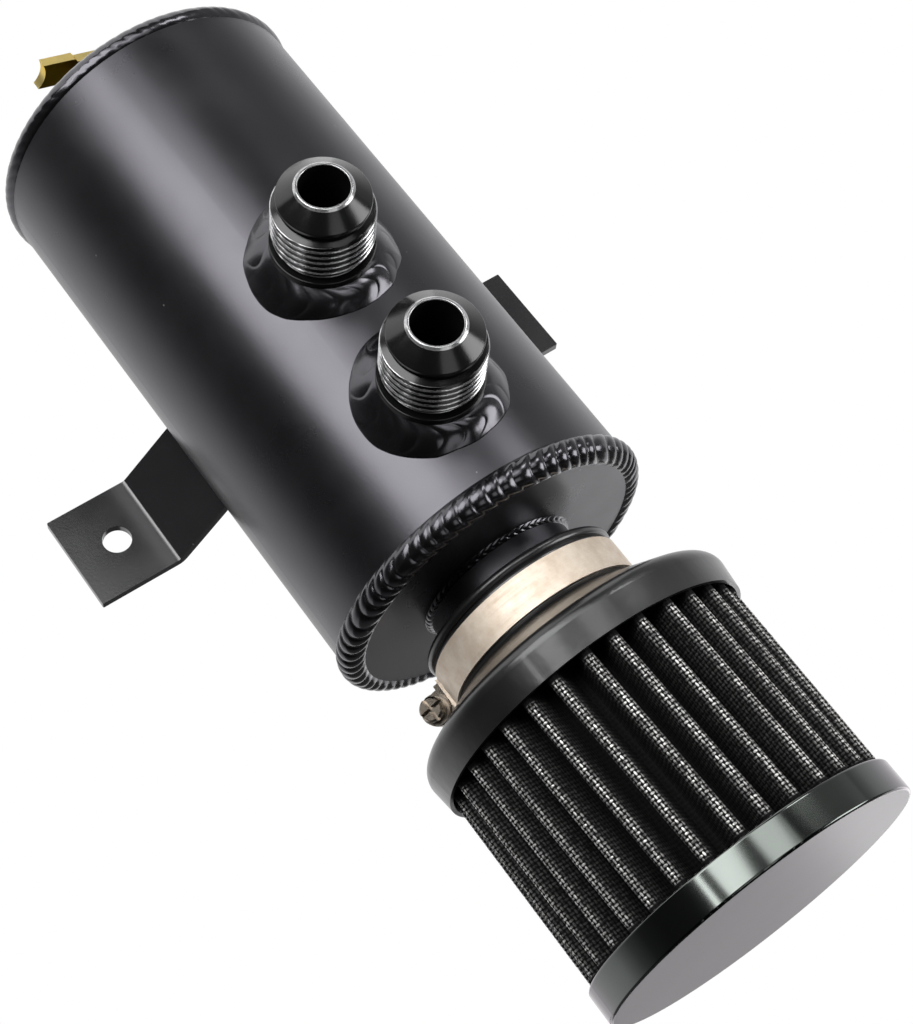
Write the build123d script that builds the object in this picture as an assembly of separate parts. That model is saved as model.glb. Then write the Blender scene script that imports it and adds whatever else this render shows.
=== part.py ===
from build123d import *
import os
from math import cos, hypot, pi, radians, sin, sqrt, tan

# Oil catch can, in millimetres. The can stands upright along Z, its hose ports face -Y and its
# wall tabs lie flat on the plane y = 0. The origin is midway between the two bolt holes.

# Can: tube, end caps and the beads that join them
CAN_R = 38.1
CAN_WALL = 2.0
CAN_LENGTH = 139.6
CAP_THICK = 3.0
CAP_PROUD = 2.0
TOP_BEAD_LEG = 3.5
TOP_BEAD_CROWN = 3.0
BOTTOM_BEAD_LEG = 2.4
BOTTOM_BEAD_CROWN = 2.3
BEAD_LAP = 1.8
FILLET_FULLNESS = 0.55
WELD_GAP = 0.05

# Outlet neck under the filter
NECK_R = 18.0
NECK_WALL = 2.0
NECK_HEIGHT = 20.0
NECK_WELD_LEG = 1.1

# Hose ports: heights are measured outward from the crown of the tube
PORT_HEIGHTS_Z = {"lower": 3.0, "upper": 42.5}
PORT_BORE_R = 5.4
PORT_THREAD_R = 11.1
PORT_BASE_R = 11.4
PORT_TAIL = 5.0
PORT_COLLAR_H = 4.4
PORT_RELIEF_R = 9.5
PORT_THREAD_START = 6.6
PORT_THREAD_END = 16.8
PORT_THREAD_CHAMFER = 0.7
PORT_CONE_R = 10.1
PORT_CONE_LAND = 1.0
PORT_CONE_H = 19.4
PORT_NOSE_R = 6.3
PORT_NOSE_H = 22.8
PORT_NOSE_ROUND = 0.35
PORT_WELD_H = 2.8
PORT_WELD_LEG = 5.0
PORT_WELD_BOW = 0.25
PORT_WELD_SPREAD = 0.8
PORT_WELD_DROP = 6.0

# Wall tabs
TAB_THICK = 2.0
TAB_WIDTH = 25.4
WALL_CLEAR = 2.9
TAB_BEND_CLEAR = 6.9
TAB_FOOT = 21.0
TAB_LEG_ANGLE = 45.0
TAB_BEND_R = 1.6
TAB_CORNER_R = 0.3
BOLT_FROM_BEND = 9.5
BOLT_HOLE_R = 3.5
TAB_WELD_R = 3.4

# Drain bung and needle valve: depths run down from the outer face of the bottom cap
BUNG_R = 11.5
BUNG_DEPTH = 7.0
BUNG_THREAD_R = 6.5
BUNG_WELD_LEG = 2.5
VALVE_HEX_AF = 15.0
VALVE_HEX_DEPTH = 11.5
VALVE_BARREL_R = 6.0
VALVE_INLET_R = 1.9
VALVE_CHAMBER_R = 3.3
VALVE_SEAT_DEPTH = 9.8
VALVE_THREAD_DEPTH = 13.9
VALVE_PACKING_DEPTH = 17.2
PACKING_R = 4.0
PACKING_THICK = 1.6
GLAND_ENGAGE = 1.7
GLAND_HEX_AF = 9.5
GLAND_HEX_THICK = 2.5
SPOUT_R = 3.0
SPOUT_BORE_R = 1.6
SPOUT_REACH = 15.0
SPOUT_BARB = 0.5
STEM_THREAD_R = 2.95
STEM_THREAD_LENGTH = 3.6
STEM_SHANK_R = 2.2
STEM_SEAT_R = 1.8
STEM_TIP_R = 0.9
STEM_NEEDLE = 1.6
STEM_HEAD_R = 2.4
STEM_HEAD_THICK = 0.6
STEM_FIT = 0.05
HANDLE_CLEAR = 1.0
HANDLE_THICK = 2.4
HANDLE_REACH = 14.7
HANDLE_WING = 8.8
HANDLE_WING_W = 7.3
HANDLE_WAIST_W = 5.4
HANDLE_NOTCH = 1.1
HANDLE_CLOCK = -17.5

# Breather filter: heights run up from the outer face of the top cap
LIP_HEIGHT = 7.0
BOOT_R = 23.1
BOOT_BORE_GAP = 0.05
LIP_BEAD = 0.9
LIP_ROOT = 0.2
LIP_LAND = 2.2
LIP_GROOVE = 0.6
SHOULDER_HEIGHT = 19.4
SHOULDER_ROUND = 1.2
FLANGE_CORNER_R = 3.4
FLANGE_TOP_HEIGHT = 27.4
FLANGE_R = 38.9
FLANGE_HEIGHT = 35.6
FLANGE_LIP = 0.9
FLANGE_SEAT = 4.0
PLEAT_COUNT = 32
PLEAT_R = 36.9
PLEAT_DEPTH = 8.5
PLEAT_TIP_R = 1.45
PLEAT_VALLEY_R = 1.2
PLEAT_SHEET = 1.1
PLEAT_EXPOSED = 47.0
PLEAT_SEAT_GAP = 0.2
PLEAT_CLOCK = 2.5
END_CAP_RIM = 7.8
END_CAP_SHEET = 1.0
END_CAP_LIP_R = 0.7
END_CAP_EDGE_R = 0.6

# Worm-drive clamp round the boot
BAND_THICK = 0.65
BAND_WIDTH = 8.0
BAND_LIP_GAP = 0.6
BAND_GAP = 0.05
BAND_TAIL_ANGLE = 78.0
CLAMP_ANGLE = 35.0
SLOT_COUNT = 9
SLOT_PITCH = 2.4
SLOT_LENGTH = 5.2
SLOT_WIDTH = 0.9
SLOT_SLANT = 10.0
WORM_R = 2.6
WORM_FIT = 0.05
WORM_LIFT = 3.3
HOUSING_LENGTH = 9.0
HOUSING_WALL = 0.9
HOUSING_FOOT_W = 9.0
HOUSING_FOOT_THICK = 0.8
SCREW_HEAD_R = 2.75
SCREW_HEAD_LENGTH = 2.6
SCREW_COLLAR_R = 3.4
SCREW_COLLAR_LENGTH = 0.8
SCREW_END_GAP = 0.3
SCREW_TIP = 2.5
DRIVE_SLOT_W = 0.8
DRIVE_SLOT_DEPTH = 1.4

CAN_BORE_R = CAN_R - CAN_WALL
CAP_R = CAN_BORE_R - WELD_GAP
TUBE_END = CAN_LENGTH / 2
CAP_FACE = TUBE_END + CAP_PROUD
WALL_OFFSET = CAN_R + WALL_CLEAR
TAB_BEND_X = CAN_R + TAB_BEND_CLEAR
TAB_END_X = TAB_BEND_X + TAB_FOOT
BOLT_SPACING = 2 * (TAB_BEND_X + BOLT_FROM_BEND)
VALVE_BARREL_DEPTH = VALVE_PACKING_DEPTH + PACKING_THICK + GLAND_ENGAGE
HANDLE_DEPTH = VALVE_BARREL_DEPTH + GLAND_HEX_THICK + HANDLE_CLEAR
PLEAT_SEAT_R = PLEAT_R + PLEAT_SEAT_GAP


def closed_face(pieces_of_line):
    """Flat face inside a closed run of lines and arcs."""
    return make_face([edge for line in pieces_of_line for edge in line.edges()])


def turned(*edges):
    """Ring turned about Z from a closed outline of edges drawn as (radius, height)."""
    return revolve(Plane.XZ * closed_face(edges), Axis.Z)


def turned_points(*points):
    """Ring turned about Z from straight (radius, height) points."""
    return revolve(make_face(Plane.XZ * Polyline(*points, close=True)), Axis.Z)


def ring(outer_r, inner_r, bottom, top):
    """Plain ring between two heights."""
    return turned_points((inner_r, bottom), (outer_r, bottom), (outer_r, top), (inner_r, top))


def hex_prism(across_flats, bottom, top):
    """Upright hexagonal bar between two heights."""
    face = RegularPolygon(across_flats / sqrt(3), 6)
    return Pos(0, 0, bottom) * extrude(face, top - bottom)


# Tube and end caps

def port_place(height):
    """Frame of a hose port: its local Z leaves the can axis towards -Y."""
    return Pos(0, 0, height) * Rot(90, 0, 0)


def can_tube():
    tube = ring(CAN_R, CAN_BORE_R, -TUBE_END, TUBE_END)
    for height in PORT_HEIGHTS_Z.values():
        tube -= port_place(height) * Pos(0, 0, CAN_R) * Cylinder(PORT_BASE_R + WELD_GAP, CAN_R)
    return tube


def end_cap_disc(hole_r):
    """End disc of the can, drawn for the top end."""
    return ring(CAP_R, hole_r + WELD_GAP, CAP_FACE - CAP_THICK, CAP_FACE)


def end_bead(leg, crown_rise):
    """Bead over the corner between tube and cap, drawn for the top end."""
    toe_r, toe_z = CAN_R, TUBE_END - leg
    lap_r, lap_z = CAP_R - BEAD_LAP, CAP_FACE
    chord = hypot(lap_r - toe_r, lap_z - toe_z)
    out_r = (lap_z - toe_z) / chord
    out_z = (toe_r - lap_r) / chord
    crown = ((toe_r + lap_r) / 2 + out_r * crown_rise, (toe_z + lap_z) / 2 + out_z * crown_rise)
    return turned(
        ThreePointArc((toe_r, toe_z), crown, (lap_r, lap_z)),
        Polyline((lap_r, lap_z), (CAN_BORE_R, CAP_FACE), (CAN_BORE_R, TUBE_END), (CAN_R, TUBE_END),
                 (toe_r, toe_z)),
    )


def to_bottom(part):
    """The same piece at the lower end of the can."""
    return mirror(part, Plane.XY)


def outlet_neck():
    return ring(NECK_R, NECK_R - NECK_WALL, CAP_FACE - CAP_THICK, CAP_FACE + NECK_HEIGHT)


def fillet_ring(inner_r, leg):
    """Weld fillet standing on the top cap round an upright cylinder."""
    return turned(
        Polyline((inner_r + leg, CAP_FACE), (inner_r, CAP_FACE), (inner_r, CAP_FACE + leg)),
        ThreePointArc((inner_r, CAP_FACE + leg),
                      (inner_r + FILLET_FULLNESS * leg, CAP_FACE + FILLET_FULLNESS * leg),
                      (inner_r + leg, CAP_FACE)),
    )


# Hose ports

def port_fitting():
    """Turned fitting with weld base, thread and flare cone, along local Z from the can axis."""
    profile = [
        (PORT_BORE_R, -PORT_TAIL),
        (PORT_BASE_R, -PORT_TAIL),
        (PORT_BASE_R, PORT_COLLAR_H),
        (PORT_RELIEF_R, PORT_COLLAR_H),
        (PORT_RELIEF_R, PORT_THREAD_START),
        (PORT_THREAD_R, PORT_THREAD_START + PORT_THREAD_CHAMFER),
        (PORT_THREAD_R, PORT_THREAD_END - PORT_THREAD_CHAMFER),
        (PORT_RELIEF_R, PORT_THREAD_END),
        (PORT_RELIEF_R, PORT_CONE_H - PORT_CONE_LAND),
        (PORT_CONE_R, PORT_CONE_H - PORT_CONE_LAND),
        (PORT_CONE_R, PORT_CONE_H),
        (PORT_NOSE_R, PORT_NOSE_H - PORT_NOSE_ROUND),
        (PORT_NOSE_R - PORT_NOSE_ROUND, PORT_NOSE_H),
        (PORT_BORE_R, PORT_NOSE_H),
    ]
    return turned_points(*[(r, CAN_R + h) for r, h in profile])


def port_weld():
    """Wide fillet that runs from the fitting down onto the round of the tube."""
    inner_r = PORT_BASE_R + WELD_GAP
    knee_r = PORT_BASE_R + PORT_WELD_LEG
    foot_r = knee_r + PORT_WELD_SPREAD
    top = (inner_r, CAN_R + PORT_WELD_H)
    knee = (knee_r, CAN_R)
    foot = (foot_r, CAN_R - PORT_WELD_DROP)
    middle = ((top[0] + knee[0]) / 2 + PORT_WELD_BOW, (top[1] + knee[1]) / 2 + PORT_WELD_BOW)
    skirt = turned(
        ThreePointArc(top, middle, knee),
        Polyline(knee, foot, (inner_r, CAN_R - PORT_WELD_DROP), top),
    )
    barrel = Rot(90, 0, 0) * Cylinder(CAN_R, 4 * foot_r)
    return skirt - barrel


# Wall tabs, drawn about the can axis on the +X side

def tab_sheet():
    front = WALL_OFFSET - TAB_THICK
    slope = radians(TAB_LEG_ANGLE)
    reach = CAN_R
    leg = (-reach * cos(slope), -reach * sin(slope))
    back_bend = (TAB_BEND_X - TAB_THICK * tan(slope / 2), WALL_OFFSET)
    front_bend = (TAB_BEND_X, front)
    outline = Polyline(
        (TAB_END_X, front), front_bend, (front_bend[0] + leg[0], front_bend[1] + leg[1]),
        (back_bend[0] + leg[0], back_bend[1] + leg[1]), back_bend, (TAB_END_X, WALL_OFFSET), close=True,
    )
    sheet = Pos(0, 0, -TAB_WIDTH / 2) * extrude(make_face(outline), TAB_WIDTH)
    upright = sheet.edges().filter_by(Axis.Z)
    sheet = fillet([e for e in upright if (e.center() - Vector(*front_bend, 0)).length < 0.01], TAB_BEND_R)
    upright = sheet.edges().filter_by(Axis.Z)
    sheet = fillet([e for e in upright if (e.center() - Vector(*back_bend, 0)).length < 0.01],
                   TAB_BEND_R + TAB_THICK)
    across = [e for e in sheet.edges().filter_by(Axis.Y) if e.center().X > TAB_END_X - 0.01]
    sheet = fillet(across, TAB_CORNER_R)
    return sheet


def bracket_tab():
    tab = tab_sheet() - Cylinder(CAN_R + WELD_GAP, 2 * TAB_WIDTH)
    return tab - Pos(BOLT_SPACING / 2, WALL_OFFSET, 0) * Rot(90, 0, 0) * Cylinder(BOLT_HOLE_R, 4 * TAB_THICK)


def bracket_weld():
    """Fillets on both sides of the leg, where it stands on the tube."""
    front = WALL_OFFSET - TAB_THICK / 2
    slope = radians(TAB_LEG_ANGLE)
    bend_x = TAB_BEND_X - TAB_THICK / 2 * tan(slope / 2)
    along = bend_x * cos(slope) + front * sin(slope)
    off_square = (bend_x * sin(slope) - front * cos(slope)) ** 2
    run = along - sqrt(CAN_R ** 2 - off_square)
    root = (bend_x - run * cos(slope), front - run * sin(slope))
    bead = Pos(*root, 0) * Cylinder(TAB_WELD_R, TAB_WIDTH)
    return bead - Cylinder(CAN_R, 2 * TAB_WIDTH) - tab_sheet()


# Drain bung and valve, drawn with depth measured along -Z from the bottom cap

def deep(*points):
    """Turned ring whose points are (radius, depth under the bottom cap)."""
    return turned_points(*[(r, -CAP_FACE - depth) for r, depth in points])


def drain_bung():
    return deep((BUNG_THREAD_R, -CAP_THICK), (BUNG_R, -CAP_THICK), (BUNG_R, BUNG_DEPTH),
                (BUNG_THREAD_R, BUNG_DEPTH))


def drain_valve_body():
    stub_r = BUNG_THREAD_R - WELD_GAP
    body = deep((0, -CAP_THICK), (stub_r, -CAP_THICK), (stub_r, BUNG_DEPTH), (VALVE_BARREL_R, BUNG_DEPTH),
                (VALVE_BARREL_R, VALVE_BARREL_DEPTH), (0, VALVE_BARREL_DEPTH))
    body += hex_prism(VALVE_HEX_AF, -CAP_FACE - VALVE_HEX_DEPTH, -CAP_FACE - BUNG_DEPTH)
    spout_depth = (VALVE_HEX_DEPTH + VALVE_THREAD_DEPTH) / 2
    spout = Pos(0, 0, -CAP_FACE - spout_depth) * Rot(0, -90, 0)
    tube = turned_points((0, 0), (SPOUT_R, 0), (SPOUT_R, SPOUT_REACH - 3 * SPOUT_R),
                         (SPOUT_R + SPOUT_BARB, SPOUT_REACH - 2 * SPOUT_R), (SPOUT_R, SPOUT_REACH - 2 * SPOUT_R),
                         (SPOUT_R + SPOUT_BARB, SPOUT_REACH - SPOUT_R), (SPOUT_R, SPOUT_REACH - SPOUT_R),
                         (SPOUT_R - SPOUT_BARB, SPOUT_REACH), (0, SPOUT_REACH))
    body += spout * tube
    body -= deep((0, -CAP_THICK), (VALVE_INLET_R, -CAP_THICK), (VALVE_INLET_R, VALVE_SEAT_DEPTH),
                 (VALVE_CHAMBER_R, VALVE_SEAT_DEPTH + VALVE_CHAMBER_R - VALVE_INLET_R),
                 (VALVE_CHAMBER_R, VALVE_THREAD_DEPTH), (STEM_THREAD_R + STEM_FIT, VALVE_THREAD_DEPTH),
                 (STEM_THREAD_R + STEM_FIT, VALVE_PACKING_DEPTH), (PACKING_R, VALVE_PACKING_DEPTH),
                 (PACKING_R, VALVE_BARREL_DEPTH), (0, VALVE_BARREL_DEPTH))
    body -= spout * Pos(0, 0, SPOUT_REACH / 2) * Cylinder(SPOUT_BORE_R, SPOUT_REACH)
    return body


def drain_packing():
    return deep((STEM_SHANK_R + STEM_FIT, VALVE_PACKING_DEPTH), (PACKING_R - WELD_GAP, VALVE_PACKING_DEPTH),
                (PACKING_R - WELD_GAP, VALVE_PACKING_DEPTH + PACKING_THICK),
                (STEM_SHANK_R + STEM_FIT, VALVE_PACKING_DEPTH + PACKING_THICK))


def drain_gland_nut():
    head_end = VALVE_BARREL_DEPTH + GLAND_HEX_THICK
    nut = deep((0, VALVE_PACKING_DEPTH + PACKING_THICK), (PACKING_R - WELD_GAP, VALVE_PACKING_DEPTH + PACKING_THICK),
               (PACKING_R - WELD_GAP, VALVE_BARREL_DEPTH), (0, VALVE_BARREL_DEPTH))
    nut += hex_prism(GLAND_HEX_AF, -CAP_FACE - head_end, -CAP_FACE - VALVE_BARREL_DEPTH)
    return nut - deep((0, 0), (STEM_SHANK_R + STEM_FIT, 0), (STEM_SHANK_R + STEM_FIT, head_end), (0, head_end))


def drain_stem():
    thread_top = VALVE_SEAT_DEPTH + VALVE_CHAMBER_R - VALVE_INLET_R
    thread_end = thread_top + STEM_THREAD_LENGTH
    needle_top = VALVE_SEAT_DEPTH - STEM_NEEDLE / 2
    head = HANDLE_DEPTH + HANDLE_THICK
    return deep((0, needle_top), (STEM_TIP_R, needle_top), (STEM_SHANK_R, needle_top + STEM_NEEDLE),
                (STEM_THREAD_R, thread_top), (STEM_THREAD_R, thread_end), (STEM_SHANK_R, thread_end),
                (STEM_SHANK_R, HANDLE_DEPTH - STEM_FIT), (STEM_SEAT_R, HANDLE_DEPTH - STEM_FIT),
                (STEM_SEAT_R, head + STEM_FIT), (STEM_HEAD_R, head + STEM_FIT),
                (STEM_SEAT_R, head + STEM_HEAD_THICK), (0, head + STEM_HEAD_THICK))


def drain_handle():
    """Flat bar with two parallel wings, a waist round the stem and hollowed ends."""
    half_wing = HANDLE_WING_W / 2
    half_waist = HANDLE_WAIST_W / 2
    wing_x = HANDLE_REACH - HANDLE_WING
    waist_x = wing_x - (half_wing - half_waist)
    edges = []
    for side in (1, -1):
        corner = (side * HANDLE_REACH, side * half_wing)
        far = (side * HANDLE_REACH, -side * half_wing)
        edges.append(ThreePointArc(corner, (side * (HANDLE_REACH - HANDLE_NOTCH), 0), far))
        edges.append(Polyline(far, (side * wing_x, -side * half_wing), (side * waist_x, -side * half_waist),
                              (-side * waist_x, -side * half_waist), (-side * wing_x, -side * half_wing),
                              (-side * HANDLE_REACH, -side * half_wing)))
    plate = closed_face(edges) - Circle(STEM_SEAT_R + STEM_FIT)
    bottom = -CAP_FACE - HANDLE_DEPTH - HANDLE_THICK
    return Pos(0, 0, bottom) * Rot(0, 0, HANDLE_CLOCK) * extrude(plate, HANDLE_THICK)


# Breather filter

def filter_boot():
    """Moulded sleeve with a lip, a sloping shoulder and a skirt that holds the pleats."""
    bore_r = NECK_R + BOOT_BORE_GAP
    lip = CAP_FACE + LIP_HEIGHT
    shoulder = CAP_FACE + SHOULDER_HEIGHT
    top = CAP_FACE + FLANGE_TOP_HEIGHT
    rim = CAP_FACE + FLANGE_HEIGHT
    seat = rim - FLANGE_SEAT
    rim_r = PLEAT_SEAT_R + FLANGE_LIP
    throat_r = PLEAT_R - PLEAT_DEPTH - PLEAT_SHEET - PLEAT_VALLEY_R
    profile = FilletPolyline(
        (BOOT_R, lip + LIP_LAND + LIP_GROOVE), (BOOT_R, shoulder), (FLANGE_R, top), (rim_r, rim),
        radius=(SHOULDER_ROUND, FLANGE_CORNER_R),
    )
    return turned(
        Line((bore_r, lip), (BOOT_R - LIP_ROOT, lip)),
        ThreePointArc((BOOT_R - LIP_ROOT, lip), (BOOT_R + LIP_BEAD, lip + LIP_LAND / 2),
                      (BOOT_R - LIP_ROOT, lip + LIP_LAND)),
        Line((BOOT_R - LIP_ROOT, lip + LIP_LAND), (BOOT_R, lip + LIP_LAND + LIP_GROOVE)),
        profile,
        Polyline((rim_r, rim), (PLEAT_SEAT_R, rim), (PLEAT_SEAT_R, seat), (throat_r, seat),
                 (bore_r, CAP_FACE + NECK_HEIGHT), (bore_r, lip)),
    )


def tangent_flank(centre_a, radius_a, centre_b, radius_b, side):
    """Ends of the line that passes from one rounding to the opposite one, crossing between them."""
    dx, dy = centre_b[0] - centre_a[0], centre_b[1] - centre_a[1]
    gap = hypot(dx, dy)
    lean = (radius_a + radius_b) / gap
    rise = sqrt(1 - lean ** 2) * side
    nx = (dx * lean - dy * rise) / gap
    ny = (dy * lean + dx * rise) / gap
    return ((centre_a[0] + radius_a * nx, centre_a[1] + radius_a * ny),
            (centre_b[0] - radius_b * nx, centre_b[1] - radius_b * ny))


def pleat_outline(tip_r, valley_r):
    """Closed pleated line with rounded ridges and valleys of the given radii."""
    tip_centre = PLEAT_R - PLEAT_TIP_R
    valley_centre = PLEAT_R - PLEAT_DEPTH + PLEAT_VALLEY_R
    half = pi / PLEAT_COUNT
    edges = []
    for index in range(PLEAT_COUNT):
        mid = 2 * half * index
        before = (valley_centre * cos(mid - half), valley_centre * sin(mid - half))
        ridge = (tip_centre * cos(mid), tip_centre * sin(mid))
        after = (valley_centre * cos(mid + half), valley_centre * sin(mid + half))
        up_ridge, up_valley = tangent_flank(ridge, tip_r, before, valley_r, 1)
        down_ridge, down_valley = tangent_flank(ridge, tip_r, after, valley_r, -1)
        crest = ((tip_centre + tip_r) * cos(mid), (tip_centre + tip_r) * sin(mid))
        edges += [Line(up_valley, up_ridge), ThreePointArc(up_ridge, crest, down_ridge),
                  Line(down_ridge, down_valley)]
        floor = valley_centre - valley_r
        dip = (floor * cos(mid + half), floor * sin(mid + half))
        following = 2 * half * (index + 1)
        next_ridge = (tip_centre * cos(following), tip_centre * sin(following))
        _, next_valley = tangent_flank(next_ridge, tip_r, after, valley_r, 1)
        edges.append(ThreePointArc(down_valley, dip, next_valley))
    return closed_face(edges)


def filter_pleats():
    wall = pleat_outline(PLEAT_TIP_R, PLEAT_VALLEY_R)
    wall -= pleat_outline(PLEAT_TIP_R - PLEAT_SHEET, PLEAT_VALLEY_R + PLEAT_SHEET)
    bottom = CAP_FACE + FLANGE_HEIGHT - FLANGE_SEAT + PLEAT_SEAT_GAP
    top = CAP_FACE + FLANGE_HEIGHT + PLEAT_EXPOSED + END_CAP_RIM - END_CAP_SHEET - PLEAT_SEAT_GAP
    return Pos(0, 0, bottom) * Rot(0, 0, PLEAT_CLOCK) * extrude(wall, top - bottom)


def filter_end_cap():
    """Shallow pressed cup with a rounded lip, turned over the ends of the pleats."""
    rim = CAP_FACE + FLANGE_HEIGHT + PLEAT_EXPOSED
    face = rim + END_CAP_RIM
    outer_r = PLEAT_SEAT_R + END_CAP_SHEET
    return turned(
        FilletPolyline((PLEAT_SEAT_R, rim), (outer_r, rim), (outer_r, face), (0, face),
                       radius=(END_CAP_LIP_R, END_CAP_EDGE_R)),
        Polyline((0, face), (0, face - END_CAP_SHEET), (PLEAT_SEAT_R, face - END_CAP_SHEET), (PLEAT_SEAT_R, rim)),
    )


# Worm-drive clamp

BAND_INNER_R = BOOT_R + BAND_GAP
BAND_OUTER_R = BAND_INNER_R + BAND_THICK
TAIL_OUTER_R = BAND_OUTER_R + BAND_THICK
BAND_BOTTOM = CAP_FACE + LIP_HEIGHT + LIP_LAND + LIP_GROOVE + BAND_LIP_GAP
BAND_MIDDLE = BAND_BOTTOM + BAND_WIDTH / 2
WORM_AXIS_R = TAIL_OUTER_R + WORM_LIFT


def clamp_band():
    """Band ring with its tail lapped over it and slots for the worm in the tail."""
    band = ring(BAND_OUTER_R, BAND_INNER_R, BAND_BOTTOM, BAND_BOTTOM + BAND_WIDTH)
    outline = Plane.XZ * Pos((BAND_OUTER_R + TAIL_OUTER_R) / 2, BAND_MIDDLE) * Rectangle(BAND_THICK, BAND_WIDTH)
    start = CLAMP_ANGLE - BAND_TAIL_ANGLE / 4
    tail = Rot(0, 0, start) * revolve(outline, Axis.Z, BAND_TAIL_ANGLE)
    for index in range(SLOT_COUNT):
        angle = CLAMP_ANGLE + (index - 1) * SLOT_PITCH / TAIL_OUTER_R * 180 / pi
        slot = Rot(SLOT_SLANT, 0, 0) * Box(2 * BAND_THICK, SLOT_WIDTH, SLOT_LENGTH)
        tail -= Rot(0, 0, angle) * Pos(TAIL_OUTER_R, 0, BAND_MIDDLE) * slot
    return band + tail


def worm_place():
    """Frame of the worm: local Z runs along the screw towards its head, local X points outward."""
    return Rot(0, 0, CLAMP_ANGLE) * Pos(WORM_AXIS_R, 0, BAND_MIDDLE) * Rot(90, 0, 0)


def clamp_housing():
    """Domed tunnel over the worm, on a foot that hugs the band."""
    bore_r = WORM_R + WORM_FIT
    dome_r = bore_r + HOUSING_WALL
    foot_drop = WORM_LIFT + BAND_THICK
    walls = Circle(dome_r) + Pos(-foot_drop / 2, 0) * Rectangle(foot_drop, 2 * dome_r)
    foot = Pos(-foot_drop + HOUSING_FOOT_THICK, 0) * Rectangle(2 * HOUSING_FOOT_THICK, HOUSING_FOOT_W)
    section = walls + foot - Circle(bore_r)
    tunnel = worm_place() * Pos(0, 0, -HOUSING_LENGTH / 2) * extrude(section, HOUSING_LENGTH)
    return tunnel - Pos(0, 0, BAND_MIDDLE) * Cylinder(TAIL_OUTER_R + BAND_GAP, 4 * HOUSING_FOOT_W)


def clamp_screw():
    """Worm screw with a collar and a cross-slotted head."""
    front = HOUSING_LENGTH / 2 + SCREW_END_GAP
    head_start = front + SCREW_COLLAR_LENGTH
    head_end = head_start + SCREW_HEAD_LENGTH
    back = -HOUSING_LENGTH / 2 - SCREW_TIP
    screw = turned_points((0, back), (WORM_R / 2, back), (WORM_R, back + WORM_R / 2), (WORM_R, front),
                          (SCREW_COLLAR_R, front), (SCREW_COLLAR_R, head_start), (SCREW_HEAD_R, head_start),
                          (SCREW_HEAD_R, head_end - DRIVE_SLOT_W / 2),
                          (SCREW_HEAD_R - DRIVE_SLOT_W / 2, head_end), (0, head_end))
    for turn in (0, 90):
        slot = Box(2 * SCREW_HEAD_R, DRIVE_SLOT_W, 2 * DRIVE_SLOT_DEPTH)
        screw -= Pos(0, 0, head_end) * Rot(0, 0, turn) * slot
    return worm_place() * screw


pieces = {
    "can_tube": can_tube(),
    "top_cap": end_cap_disc(NECK_R),
    "bottom_cap": to_bottom(end_cap_disc(BUNG_R)),
    "top_weld_bead": end_bead(TOP_BEAD_LEG, TOP_BEAD_CROWN),
    "bottom_weld_bead": to_bottom(end_bead(BOTTOM_BEAD_LEG, BOTTOM_BEAD_CROWN)),
    "outlet_neck": outlet_neck(),
    "outlet_neck_weld": fillet_ring(NECK_R, NECK_WELD_LEG),
    "right_bracket_tab": bracket_tab(),
    "left_bracket_tab": mirror(bracket_tab(), Plane.YZ),
    "right_bracket_weld": bracket_weld(),
    "left_bracket_weld": mirror(bracket_weld(), Plane.YZ),
    "drain_bung": drain_bung(),
    "drain_bung_weld": to_bottom(fillet_ring(BUNG_R, BUNG_WELD_LEG)),
    "drain_valve_body": drain_valve_body(),
    "drain_packing": drain_packing(),
    "drain_gland_nut": drain_gland_nut(),
    "drain_stem": drain_stem(),
    "drain_handle": drain_handle(),
    "filter_boot": filter_boot(),
    "filter_pleats": filter_pleats(),
    "filter_end_cap": filter_end_cap(),
    "clamp_band": clamp_band(),
    "clamp_housing": clamp_housing(),
    "clamp_screw": clamp_screw(),
}
for name, height in PORT_HEIGHTS_Z.items():
    pieces[name + "_port_fitting"] = port_place(height) * port_fitting()
    pieces[name + "_port_weld"] = port_place(height) * port_weld()

os.makedirs("parts", exist_ok=True)
for name, piece in pieces.items():
    export_step(Pos(0, -WALL_OFFSET, 0) * piece, f"parts/{name}.step")
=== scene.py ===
import math

import bpy
import numpy as np
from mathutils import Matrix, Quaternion, Vector


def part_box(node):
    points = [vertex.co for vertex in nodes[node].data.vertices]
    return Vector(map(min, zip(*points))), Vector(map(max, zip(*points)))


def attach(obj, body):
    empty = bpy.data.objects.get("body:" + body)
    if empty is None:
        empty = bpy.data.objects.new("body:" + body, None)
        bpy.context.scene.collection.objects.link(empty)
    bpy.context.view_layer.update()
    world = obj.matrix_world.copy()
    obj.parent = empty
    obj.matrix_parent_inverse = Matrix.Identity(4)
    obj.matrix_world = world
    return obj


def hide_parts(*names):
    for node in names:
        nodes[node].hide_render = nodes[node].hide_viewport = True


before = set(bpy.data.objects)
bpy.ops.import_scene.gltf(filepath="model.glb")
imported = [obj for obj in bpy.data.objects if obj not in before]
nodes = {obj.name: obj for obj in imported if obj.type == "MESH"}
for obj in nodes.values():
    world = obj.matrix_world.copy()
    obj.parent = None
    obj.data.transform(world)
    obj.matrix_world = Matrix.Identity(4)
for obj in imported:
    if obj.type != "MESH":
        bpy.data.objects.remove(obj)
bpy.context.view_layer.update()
bpy.context.scene.view_settings.view_transform = "Standard"

# Can body: a drawn aluminium tube with two end discs pressed in, a short neck and a drain bung.
# It is welded up and then coated satin black, duller on the underside. The coat has a faint orange peel,
# soft clouding and a few pale specks of dust.
MM = 0.001
AXIS_Y = -0.041
COAT_DARK = (0.002, 0.002, 0.0022, 1)
COAT_LIGHT = (0.006, 0.006, 0.0064, 1)
COAT_SHEEN = {"Specular_IOR_Level": 1.0, "Specular_Tint": (0.93, 0.91, 1.0, 1)}
DUST_GREY = (0.16, 0.16, 0.16, 1)


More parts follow.
